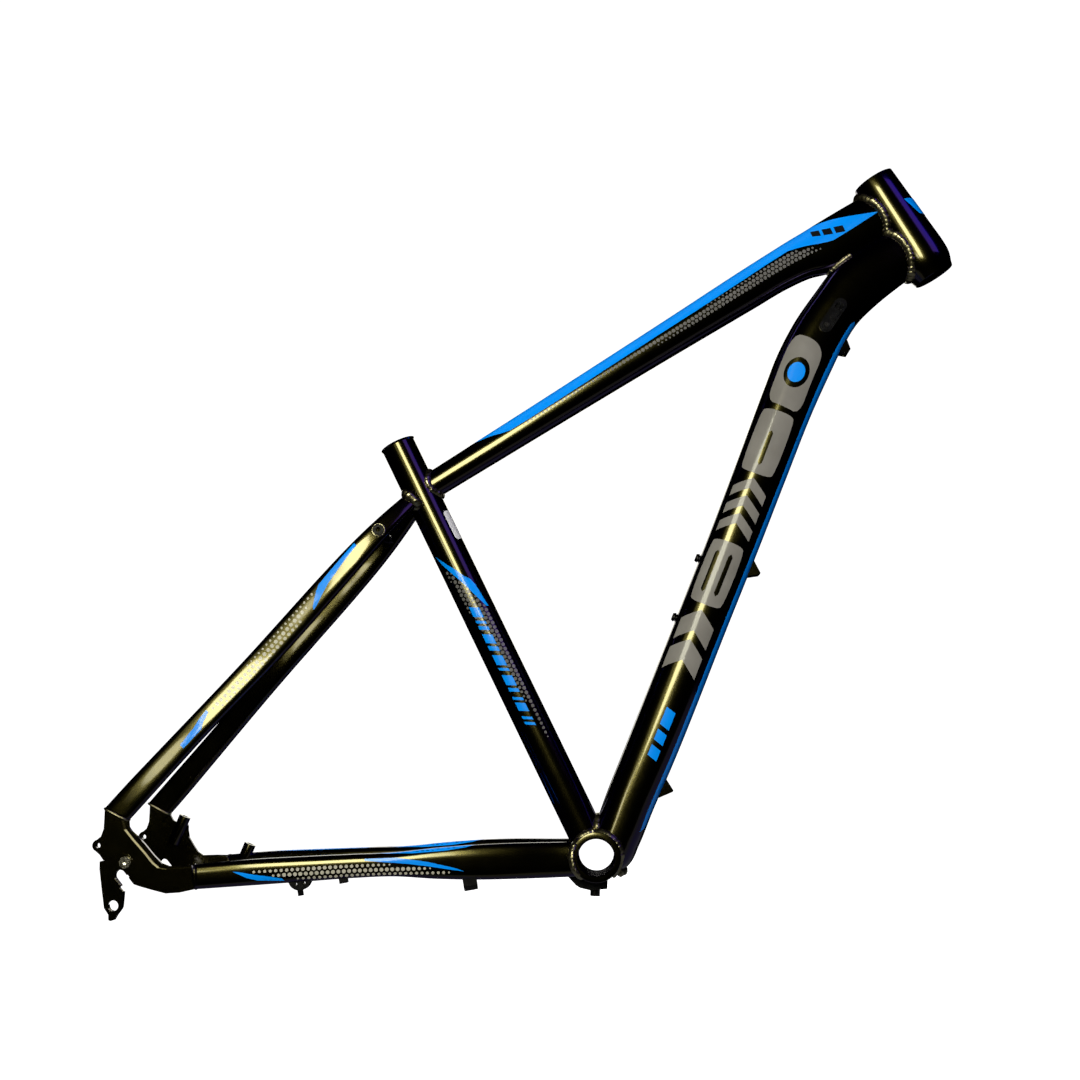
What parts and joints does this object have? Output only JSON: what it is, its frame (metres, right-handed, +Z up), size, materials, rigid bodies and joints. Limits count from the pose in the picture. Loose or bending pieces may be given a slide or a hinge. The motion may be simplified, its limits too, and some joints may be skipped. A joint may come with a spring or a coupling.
{
  "type": "bicycle frame",
  "caption": "Aluminium hardtail mountain bike frame for large wheels, with formed tubes, slotted dropouts, disc brake posts, a bolted derailleur hanger and hose guides.",
  "frame": {"origin": "centre of the bottom bracket shell", "axes": "+X points forward, +Y to the rider's left along the shell's bore, +Z up with the bicycle level"},
  "size_m": [0.93, 0.1521, 0.6725],
  "materials": {
    "paint": "gloss",
    "steel": "satin",
    "plastic": "satin"
  },
  "bodies": {
    "root": {"head_tube": "paint", "top_tube": "paint", "down_tube": "paint", "seat_tube": "paint", "bb_shell": "paint", "chainstay_right": "paint", "chainstay_left": "paint", "chainstay_bridge": "paint", "seatstay_right": "paint", "seatstay_left": "paint", "seatstay_bridge": "paint", "dropout_right": "paint", "dropout_left": "paint", "brake_post_front": "paint", "rack_boss_right": "paint", "rack_boss_left": "paint", "hose_guide_top": "paint", "hose_guide_middle": "paint", "hose_guide_bottom": "paint", "derailleur_hanger": "paint", "hanger_bolt": "steel", "hanger_nut": "steel", "bottle_bosses": "steel", "bottle_bolts": "steel", "bb_guide_screw": "steel", "port_screw": "steel", "chainstay_guide_rear": "plastic", "chainstay_guide_middle": "plastic", "chainstay_guide_front": "plastic", "bb_cable_guide": "plastic", "port_frame": "plastic", "port_cover": "plastic"}
  },
  "joints": []
}
